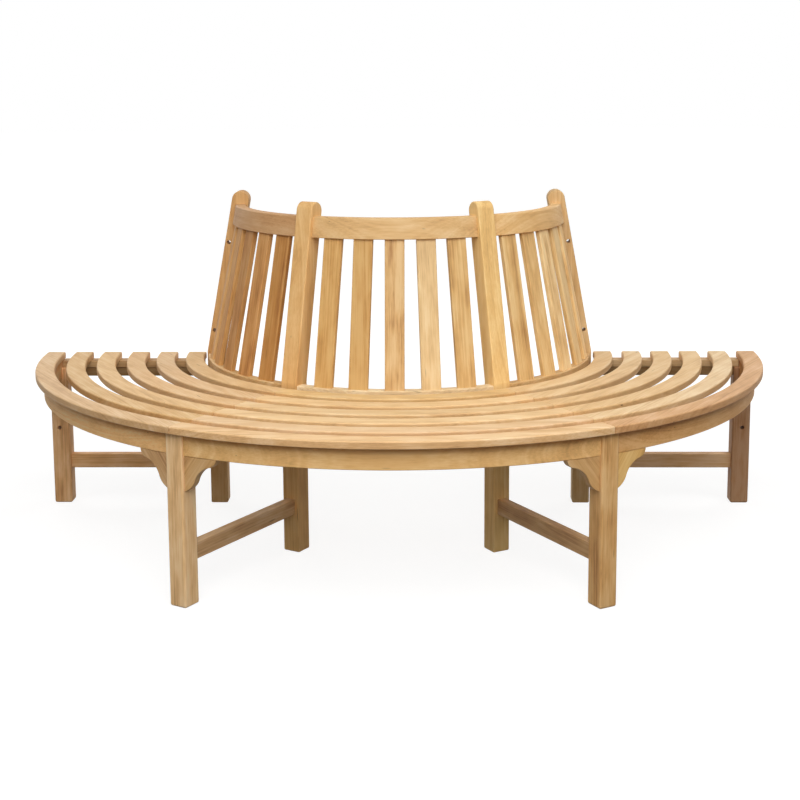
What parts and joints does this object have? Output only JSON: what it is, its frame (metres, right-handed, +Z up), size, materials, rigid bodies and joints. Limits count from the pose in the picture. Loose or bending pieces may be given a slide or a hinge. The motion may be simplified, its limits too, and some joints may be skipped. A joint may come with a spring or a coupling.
{
  "type": "half-round tree bench",
  "caption": "Half-round slatted tree bench with a fanned, raked backrest, square legs, curved aprons, ogee brackets and end holes for joining a second half.",
  "frame": {"origin": "middle of the footprint at ground level, halfway between the two ends and halfway between the joining plane and the outermost slat", "axes": "+Z up; +X along the straight joining side, from the left end to the right end as seen from the seat's front; -Y is the rounded front of the seat and +Y faces the tree"},
  "size_m": [2.2, 1.0998, 0.978],
  "materials": {
    "teak": "sanded solid teak, unvarnished, warm golden brown"
  },
  "bodies": {
    "root": {"apron_1": "teak", "apron_2": "teak", "apron_3": "teak", "back_post_1": "teak", "back_post_2": "teak", "back_post_3": "teak", "back_post_4": "teak", "back_slat_1_1": "teak", "back_slat_1_2": "teak", "back_slat_1_3": "teak", "back_slat_1_4": "teak", "back_slat_1_5": "teak", "back_slat_2_1": "teak", "back_slat_2_2": "teak", "back_slat_2_3": "teak", "back_slat_2_4": "teak", "back_slat_2_5": "teak", "back_slat_3_1": "teak", "back_slat_3_2": "teak", "back_slat_3_3": "teak", "back_slat_3_4": "teak", "back_slat_3_5": "teak", "batten_1_1": "teak", "batten_1_2": "teak", "batten_2_1": "teak", "batten_2_2": "teak", "batten_3_1": "teak", "batten_3_2": "teak", "bracket_2_1": "teak", "bracket_2_2": "teak", "bracket_3_1": "teak", "bracket_3_2": "teak", "front_leg_1": "teak", "front_leg_2": "teak", "front_leg_3": "teak", "front_leg_4": "teak", "low_rail_1": "teak", "low_rail_2": "teak", "low_rail_3": "teak", "seat_bearer_1": "teak", "seat_bearer_2": "teak", "seat_bearer_3": "teak", "seat_bearer_4": "teak", "seat_ring_1": "teak", "seat_ring_2": "teak", "seat_ring_3": "teak", "seat_ring_4": "teak", "seat_ring_5": "teak", "seat_ring_6": "teak", "stretcher_1": "teak", "stretcher_2": "teak", "stretcher_3": "teak", "stretcher_4": "teak", "top_rail_1": "teak", "top_rail_2": "teak", "top_rail_3": "teak"}
  },
  "joints": []
}
